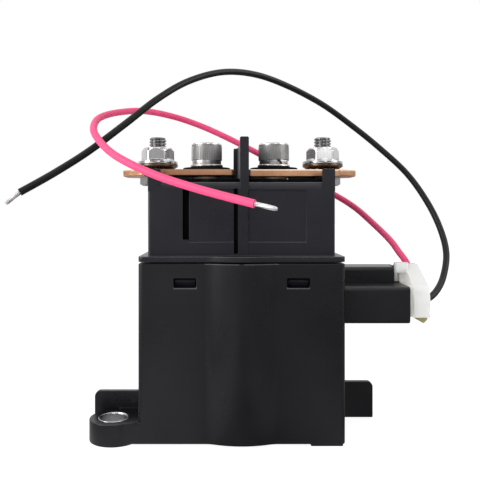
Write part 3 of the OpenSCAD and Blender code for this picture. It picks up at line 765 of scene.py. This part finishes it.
def isShadedUnderside(face):
    # Painted shade: the bars' undersides, but for their outer ends
    return face.normal.z < barUndersideUp and abs(face.center.x) < bars["undersideShadeTo"] * mm


# Painted shade in the cover's slots and on the step under the bars
refinish("coverShell", "paintedSlotShade", inShadedSlot)
# Painted highlight along the bars' top edges
refinish("copperBars", "paintedCopperHighlight", lambda face: within(face.normal.z, barHighlightUp))
# Painted shade on the bars' undersides
refinish("copperBars", "paintedShadeCopper", isShadedUnderside)
# Painted highlights on the screw rims and on the tops of the ear bushes
refinish("capScrews", "highlightRim", lambda face: face.center.z > screwHighlightFrom * mm)
refinish("earBushes", "highlightRim", lambda face: face.normal.z > bushHighlightUp)
# Painted highlight lines on the housing's and cover's edges
for edges in highlightEdges:
    refinish(edges["piece"], edges["finish"], lambda face: isHighlighted(face, edges["spots"]))
# Painted shade and painted highlights are now on the slots, rims and edges
print("slots, rims and worn edges finished")


# Geometry Nodes: trees that turn named inputs into one realized, coloured mesh
def newTree(name, floats="", counts="", vectors=""):
    tree = bpy.data.node_groups.new(name, "GeometryNodeTree")
    inputs = {"Float": floats, "Int": counts, "Vector": vectors + " Place", "Material": "Material"}
    for kind, labels in inputs.items():
        for label in labels.split():
            tree.interface.new_socket(label, in_out="INPUT", socket_type="NodeSocket" + kind)
    tree.interface.new_socket("Geometry", in_out="OUTPUT", socket_type="NodeSocketGeometry")
    return tree, tree.nodes.new("NodeGroupInput"), tree.nodes.new("NodeGroupOutput")


def endTree(tree, geometry, given, result):
    shift = tree.nodes.new("GeometryNodeTransform")
    whole = tree.nodes.new("GeometryNodeRealizeInstances")
    colour = tree.nodes.new("GeometryNodeSetMaterial")
    tree.links.new(geometry, shift.inputs["Geometry"])
    tree.links.new(given.outputs["Place"], shift.inputs["Translation"])
    tree.links.new(shift.outputs["Geometry"], whole.inputs[0])
    tree.links.new(whole.outputs[0], colour.inputs["Geometry"])
    tree.links.new(given.outputs["Material"], colour.inputs["Material"])
    tree.links.new(colour.outputs["Geometry"], result.inputs["Geometry"])


def grow(name, tree, values, smooth):
    # Run a tree on an empty mesh and keep its result as a plain mesh
    seed = linked(name, bpy.data.meshes.new(name + "Seed"))
    modifier = seed.modifiers.new("grow", "NODES")
    modifier.node_group = tree
    for socket in tree.interface.items_tree:
        if socket.item_type == "SOCKET" and socket.in_out == "INPUT":
            modifier[socket.identifier] = values[socket.name]
    applyModifiers(seed)
    smoothByAngle(seed, smooth)
    return seed


def growPair(name, tree, values, place, smooth):
    # The same form on both sides of the middle, as one mesh
    build = bmesh.new()
    for side, sign in sides.items():
        values["Place"] = (sign * place[0] * mm, 0, place[1] * mm)
        piece = grow(name + side, tree, values, smooth)
        build.from_mesh(piece.data)
        bpy.data.objects.remove(piece)
    return pieceFrom(build, name, values["Material"])


# Studs: a hexagon head under the bar, a plain core and a rolled thread on the free end
stud = {
    "x": 28.0,
    "headTop": 83.1,  # below this, the head is painted darker, as shade under the bar
    "narrowFrom": 92.9,  # above this, the copied stud shrinks to the thread's root
    "tipFrom": 96.0,
    "tipSink": 0.05,  # how far the core's end lies below the thread's
    "coreRadius": 2.42,
    "width": 0.25,  # of the rounded edges
    "steps": 2,
}
thread = {
    "radius": 2.92,
    "depth": 0.46,
    "pitch": 1.0,
    "from": 91.6,
    "to": 96.6,
    "chamfer": 0.55,
    "flank": 1.25,  # 1 is a sharp V, and more leaves flat crests and roots
    "around": 56,
    "stepsPerTurn": 12,
    "smooth": 40,  # degrees
}


def narrowStud(build):
    core = stud["coreRadius"] * mm
    for vert in build.verts:
        if vert.co.z > stud["narrowFrom"] * mm:
            centre, flat = fromAxis(vert, stud["x"])
            if flat.length > core:
                vert.co = centre + flat * (core / flat.length)
            if vert.co.z > stud["tipFrom"] * mm:
                vert.co.z = (thread["to"] - stud["tipSink"]) * mm


def threadTree(flank):
    tree, given, result = newTree("rolledThread", "Radius Depth Pitch Length Chamfer",
                                  "Around Steps")
    radius, length = given.outputs["Radius"], given.outputs["Length"]

    def calc(operation, first, second=None):
        return mathNode(tree, operation, first, second)

    rod = tree.nodes.new("GeometryNodeMeshCylinder")
    for source, target in (("Around", "Vertices"), ("Steps", "Side Segments"),
                           ("Radius", "Radius"), ("Length", "Depth")):
        tree.links.new(given.outputs[source], rod.inputs[target])
    where = tree.nodes.new("GeometryNodeInputPosition")
    parts = tree.nodes.new("ShaderNodeSeparateXYZ")
    tree.links.new(where.outputs[0], parts.inputs[0])
    x, y, z = parts.outputs
    # How deep the thread's valley is at this angle and height, from 0 to 1
    turn = calc("DIVIDE", calc("ARCTAN2", y, x), 2 * math.pi)
    phase = calc("FRACT", calc("SUBTRACT", calc("DIVIDE", z, given.outputs["Pitch"]), turn))
    valley = calc("ABSOLUTE", calc("SUBTRACT", calc("MULTIPLY", phase, 2.0), 1.0))
    valley = calc("SUBTRACT", calc("MULTIPLY", valley, flank), (flank - 1) / 2)
    valley = calc("MINIMUM", calc("MAXIMUM", valley, 0.0), 1.0)
    # The radius there, which the chamfer cuts back at the tip
    reach = calc("SUBTRACT", radius, calc("MULTIPLY", valley, given.outputs["Depth"]))
    toTop = calc("SUBTRACT", calc("DIVIDE", length, 2.0), z)
    tip = calc("ADD", calc("SUBTRACT", radius, given.outputs["Chamfer"]), toTop)
    share = calc("DIVIDE", calc("MINIMUM", reach, tip), radius)
    moved = tree.nodes.new("ShaderNodeCombineXYZ")
    for socket, source in zip(moved.inputs, (calc("MULTIPLY", x, share),
                                             calc("MULTIPLY", y, share), z)):
        tree.links.new(source, socket)
    move = tree.nodes.new("GeometryNodeSetPosition")
    tree.links.new(rod.outputs["Mesh"], move.inputs["Geometry"])
    tree.links.new(moved.outputs[0], move.inputs["Position"])
    endTree(tree, move.outputs["Geometry"], given, result)
    return tree


piece = nodeCopy("hexBolts", bothSides("terminal_bolt"), narrowStud)
roundEdges(piece, stud["width"], stud["steps"])
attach(piece, root)
# Painted shade on the bolt heads under the bars
refinish("hexBolts", "shadedZinc", lambda face: face.center.z < stud["headTop"] * mm)
length = thread["to"] - thread["from"]
piece = growPair("studThreads", threadTree(thread["flank"]), {
    "Radius": thread["radius"] * mm, "Depth": thread["depth"] * mm, "Pitch": thread["pitch"] * mm,
    "Length": length * mm, "Chamfer": thread["chamfer"] * mm, "Around": thread["around"],
    "Steps": round(length / thread["pitch"] * thread["stepsPerTurn"]),
    "Material": finish["shadedZinc"],
}, (stud["x"], thread["from"] + length / 2), thread["smooth"])
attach(piece, root)
print("studs threaded")


# Cap screws: straight knurling round each head, of square bars with a corner outwards
knurl = {
    "x": 11.4,
    "headRadius": 5.02,
    "ridge": 0.24,
    "from": 88.9,
    "to": 93.4,
    "count": 54,
    "smooth": 20,  # degrees
}


def knurlTree():
    tree, given, result = newTree("straightKnurl", "Radius", "Count", "Ridge")
    circle = tree.nodes.new("GeometryNodeMeshCircle")
    tree.links.new(given.outputs["Count"], circle.inputs["Vertices"])
    tree.links.new(given.outputs["Radius"], circle.inputs["Radius"])
    ridge = tree.nodes.new("GeometryNodeMeshCube")
    tree.links.new(given.outputs["Ridge"], ridge.inputs["Size"])
    where = tree.nodes.new("GeometryNodeInputPosition")
    face = addNode(tree, "FunctionNodeAlignRotationToVector", axis="X")
    tree.links.new(where.outputs[0], face.inputs["Vector"])
    corner = addNode(tree, "FunctionNodeRotateRotation", rotation_space="LOCAL")
    corner.inputs["Rotate By"].default_value = (0, 0, math.radians(45))
    tree.links.new(face.outputs[0], corner.inputs["Rotation"])
    copies = tree.nodes.new("GeometryNodeInstanceOnPoints")
    tree.links.new(circle.outputs["Mesh"], copies.inputs["Points"])
    tree.links.new(ridge.outputs["Mesh"], copies.inputs["Instance"])
    tree.links.new(corner.outputs[0], copies.inputs["Rotation"])
    endTree(tree, copies.outputs["Instances"], given, result)
    return tree


height = knurl["to"] - knurl["from"]
piece = growPair("capKnurls", knurlTree(), {
    "Radius": knurl["headRadius"] * mm, "Count": knurl["count"],
    "Ridge": (knurl["ridge"] * mm, knurl["ridge"] * mm, height * mm),
    "Material": finish["screwHead"],
}, (knurl["x"], knurl["from"] + height / 2), knurl["smooth"])
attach(piece, root)
print("heads knurled")


# Leads: the same routes as the solid model
leads = {
    "black": {
        "route": [
            (49, -10.5, 42.6), (55, -10.5, 42.6), (59.8, -10, 43), (64.2, -7, 45.2),
            (68.6, -1.5, 49.7), (71.7, 4.5, 57.2), (71.4, 10, 65.7), (68.3, 15, 75.3),
            (62.2, 19, 85.6), (53, 22, 95.2), (42.9, 23, 103.7), (31.1, 22, 111.9),
            (17.6, 18, 118), (5.6, 11, 120.6), (-5.9, 3, 119.7), (-17, -5.5, 114.9),
            (-26.5, -13, 107.7), (-36, -18.5, 98.9), (-46.3, -23, 90), (-55.8, -27.2, 83),
            (-64.7, -31, 77.2),
        ],
        "tip": (-68, -33, 73.9),
    },
    "red": {
        "route": [
            (49, -0.5, 42.6), (53, -0.5, 42.8), (56, -0.4, 45), (57.5, -0.3, 49.2),
            (56.8, 0.2, 53.8), (54.6, 2, 57.6), (52.4, 5.5, 61.6), (48.4, 12, 66.9),
            (42.8, 18.5, 73), (35.3, 21.5, 78.1), (22.6, 22.5, 85.1), (9.4, 22, 92.2),
            (-4, 21, 98.9), (-13.9, 19.5, 103.2), (-23.8, 15.5, 106.1), (-33.5, 8, 107),
            (-40.9, -1, 105.2), (-45, -12, 101.9), (-45.3, -21, 97.9), (-43, -28, 93.7),
            (-36.5, -36, 87.8), (-25.5, -43.5, 82.2), (-12.6, -51, 77.7), (2.3, -58, 73.6),
        ],
        "tip": (7.7, -60.3, 72.3),
    },
}
leadDiameter = 2.2
sleeve = {"stepsPerPoint": 10, "roundness": 6}
strands = {
    "diameter": 1.2,
    "inSleeve": 0.2,  # share of the bared length that is hidden in the sleeve
    "outer": 6,  # strands round the middle one
    "lobe": 0.07,  # how far they stand out, as a share of the radius
    "twist": 7.0,  # radians
    "taper": 0.35,
    "taperFrom": 0.86,  # share of the length
    "around": 48,
    "rings": 30,
    "smooth": 50,  # degrees
}


def smoothRoute(route, steps):
    # A curve through all points of the route, in metres
    points = [Vector(point) * mm for point in route]
    last = len(points) - 1
    done = []
    for i in range(last):
        a, b, c, d = points[max(i - 1, 0)], points[i], points[i + 1], points[min(i + 2, last)]
        for k in range(steps):
            t = k / steps
            done.append(0.5 * (2 * b + (c - a) * t + (2 * a - 5 * b + 4 * c - d) * t**2
                               + (3 * b - a - 3 * c + d) * t**3))
    done.append(points[last])
    return done


def strandBundle(name, start, end, opts):
    # Seven twisted strands under one coat of tin
    axis = end - start
    turn = axis.to_track_quat("Z", "Y").to_matrix()
    around, rings, taperFrom = opts["around"], opts["rings"], opts["taperFrom"]
    build = bmesh.new()
    loops = []
    for i in range(rings + 1):
        u = i / rings
        shrink = 1 - opts["taper"] * max(0, (u - taperFrom) / (1 - taperFrom)) ** 2
        loop = []
        for k in range(around):
            angle = 2 * math.pi * k / around
            lobe = 1 + opts["lobe"] * math.cos(opts["outer"] * angle + opts["twist"] * u)
            radius = opts["diameter"] / 2 * mm * shrink * lobe
            flat = Vector((math.cos(angle) * radius, math.sin(angle) * radius, 0))
            loop.append(build.verts.new(start + axis * u + turn @ flat))
        loops.append(loop)
    for low, high in zip(loops, loops[1:]):
        for k in range(around):
            after = (k + 1) % around
            build.faces.new((low[k], low[after], high[after], high[k]))
    build.faces.new(reversed(loops[0]))
    build.faces.new(loops[-1])
    bmesh.ops.recalc_face_normals(build, faces=build.faces)
    piece = pieceFrom(build, name, finish["tinned"])
    smoothByAngle(piece, opts["smooth"])
    return piece


def sleeveCurve(name, points, material):
    curve = bpy.data.curves.new(name, "CURVE")
    curve.dimensions = "3D"
    curve.bevel_depth = leadDiameter / 2 * mm
    curve.bevel_resolution = sleeve["roundness"]
    curve.use_fill_caps = True
    line = curve.splines.new("POLY")
    line.points.add(len(points) - 1)
    for spot, place in zip(line.points, points):
        spot.co = (*place, 1)
    line.use_smooth = True
    curve.materials.append(material)
    return linked(name, curve)


for colour, opts in leads.items():
    points = smoothRoute(opts["route"], sleeve["stepsPerPoint"])
    lead = sleeveCurve(colour + "Lead", points, finishFor(colour + "_lead"))
    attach(lead, root)
    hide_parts(colour + "_lead")
    start, end = points[-1], Vector(opts["tip"]) * mm
    tip = strandBundle(colour + "Tip", start - (end - start) * strands["inSleeve"], end, strands)
    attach(tip, root)
    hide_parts(colour + "_lead_core")
    length = sum((b - a).length for a, b in zip(points, points[1:]))
    print(colour, "lead", round(length / mm), "mm")


# Studio: white paper under and round the object. The camera sees it plain, and gloss sees
# soft panels and cards on it, as (place, level)
studio = {
    "floorHalf": 3.0,  # metres
    "paper": (0.9, 0.9, 0.9),
    "paperRough": 0.9,
    "glow": 1.28,  # what the camera sees of the floor where no shadow falls
    "shadow": 0.3,  # share of the floor that shows the object's shadow
    "world": 0.56,
    # On the floor, from left to right in metres
    "floorCards": [
        (-0.5, 1.2), (-0.3, 1.0), (-0.21, 0.5), (-0.12, 0.45), (-0.085, 0.45), (-0.07, 0.3),
        (-0.056, 0.5), (-0.042, 0.75), (-0.032, 0.75), (-0.024, 0.6), (-0.014, 0.6),
        (-0.008, 0.25), (0.008, 0.1), (0.02, 0.3), (0.031, 0.5), (0.042, 0.25), (0.055, 0.15),
        (0.08, 0.3), (0.11, 0.4), (0.16, 0.2), (0.35, 0.3), (0.5, 0.8)],
    # All round, from left, -1, to right, 1: low and high in front of the object, and behind it
    "frontLow": [
        (-1.0, 0.5), (-0.45, 0.5), (-0.2, 0.30), (-0.05, 0.22), (0.12, 0.12), (0.4, 0.12),
        (1.0, 0.5)],
    "frontHigh": [
        (-1.0, 0.4), (-0.8, 0.9), (-0.5, 0.9), (-0.38, 0.15), (-0.2, 0.35), (-0.1, 0.55),
        (0.02, 0.35), (0.1, 1.5), (0.22, 1.5), (0.32, 0.2), (0.6, 0.2), (0.7, 0.9), (0.85, 0.9),
        (1.0, 0.4)],
    "behind": [
        (-1.0, 0.35), (-0.92, 0.4), (-0.8, 0.8), (0.8, 0.8), (0.92, 0.4), (1.0, 0.35)],
    "lowToHigh": (0.045, 0.075),  # how far up the panels in front change
    "frontToBehind": (-0.3, -0.02),  # how far back they give way to those behind
}


def makeFloor(opts):
    half = opts["floorHalf"]
    corners = [(-half, -half, 0), (half, -half, 0), (half, half, 0), (-half, half, 0)]
    mesh = bpy.data.meshes.new("floor")
    mesh.from_pydata(corners, [], [(0, 1, 2, 3)])
    floor = linked("floor", mesh)
    material, tree, shader = nodeMaterial("paperFloor")
    shader.inputs["Base Color"].default_value = (*opts["paper"], 1)
    shader.inputs["Roughness"].default_value = opts["paperRough"]
    rays = tree.nodes.new("ShaderNodeLightPath").outputs
    parts = tree.nodes.new("ShaderNodeSeparateXYZ")
    tree.links.new(objectPlace(tree), parts.inputs[0])
    reach = opts["floorCards"][-1][0]
    across = fade(tree, parts.outputs["X"], -reach, reach)
    cards = greyRamp(tree, across, opts["floorCards"], reach)
    paper = tree.nodes.new("ShaderNodeRGB").outputs[0]
    paper.default_value = (opts["glow"], opts["glow"], opts["glow"], 1)
    glow = addNode(tree, "ShaderNodeEmission", Strength=1.0)
    tree.links.new(blendColours(tree, rays["Is Glossy Ray"], paper, cards), glow.inputs["Color"])
    # The camera sees a share of the glow, and gloss and glass see all of it
    seen = mathNode(tree, "MULTIPLY", rays["Is Camera Ray"], 1 - opts["shadow"])
    seen = mathNode(tree, "MAXIMUM", seen, rays["Is Glossy Ray"])
    seen = mathNode(tree, "MAXIMUM", seen, rays["Is Transmission Ray"])
    surface = blendShaders(tree, seen, shader.outputs[0], glow.outputs[0])
    tree.links.new(surface, tree.nodes["Material Output"].inputs["Surface"])
    mesh.materials.append(material)


def makeWorld(opts):
    # White for the camera and glass, the panels for gloss, and an even light for all else
    world = bpy.data.worlds.new("studioWorld")
    scene.world = world
    world.use_nodes = True
    tree = world.node_tree
    tree.nodes.clear()
    output = tree.nodes.new("ShaderNodeOutputWorld")
    rays = tree.nodes.new("ShaderNodeLightPath").outputs
    place = tree.nodes.new("ShaderNodeTexCoord")
    parts = tree.nodes.new("ShaderNodeSeparateXYZ")
    tree.links.new(place.outputs["Generated"], parts.inputs[0])
    across, away, up = parts.outputs
    acrossShare = fade(tree, across, -1.0, 1.0)
    low, high, behind = [greyRamp(tree, acrossShare, opts[key], 1)
                         for key in ("frontLow", "frontHigh", "behind")]
    front = blendColours(tree, fade(tree, up, *opts["lowToHigh"]), low, high)
    panels = blendColours(tree, fade(tree, away, *opts["frontToBehind"]), front, behind)
    white = (1, 1, 1, 1)
    lit = addNode(tree, "ShaderNodeBackground", Color=white, Strength=opts["world"])
    glossy = addNode(tree, "ShaderNodeBackground", Strength=1.0)
    shown = addNode(tree, "ShaderNodeBackground", Color=white, Strength=1.0)
    tree.links.new(panels, glossy.inputs["Color"])
    clear = mathNode(tree, "MAXIMUM", rays["Is Camera Ray"], rays["Is Transmission Ray"])
    light = blendShaders(tree, rays["Is Glossy Ray"], lit.outputs[0], glossy.outputs[0])
    surface = blendShaders(tree, clear, light, shown.outputs[0])
    tree.links.new(surface, output.inputs["Surface"])


# Soft boxes, in metres, aimed at the middle of the object
lampAim = (0, 0, 0.05)
lamps = [
    {"name": "leftBox", "place": (-0.55, -0.35, 0.35), "size": (0.35, 0.6), "watts": 3.2},
    {"name": "rightBox", "place": (0.6, -0.2, 0.4), "size": (0.3, 0.5), "watts": 1.3},
    {"name": "topBox", "place": (0.0, 0.1, 0.75), "size": (0.6, 0.5), "watts": 0.4,
     "inGloss": False},
    {"name": "topShine", "place": (0.0, 0.1, 0.75), "size": (1.0, 1.0), "watts": 2.4,
     "inColour": False},
    {"name": "frontFill", "place": (-0.17, -0.32, 0.11), "size": (0.2, 0.15), "watts": 0.36,
     "inGloss": False},
]


def makeLamp(opts):
    lamp = bpy.data.lights.new(opts["name"], "AREA")
    lamp.shape = "RECTANGLE"
    lamp.size, lamp.size_y = opts["size"]
    lamp.energy = opts["watts"]
    holder = linked(opts["name"], lamp)
    holder.location = opts["place"]
    aim = Vector(lampAim) - holder.location
    holder.rotation_euler = aim.to_track_quat("-Z", "Y").to_euler()
    holder.visible_glossy = opts.get("inGloss", True)
    holder.visible_diffuse = opts.get("inColour", True)


makeFloor(studio)
makeWorld(studio)
for lampOpts in lamps:
    makeLamp(lampOpts)
scene.view_settings.view_transform = "Standard"
print("studio set")
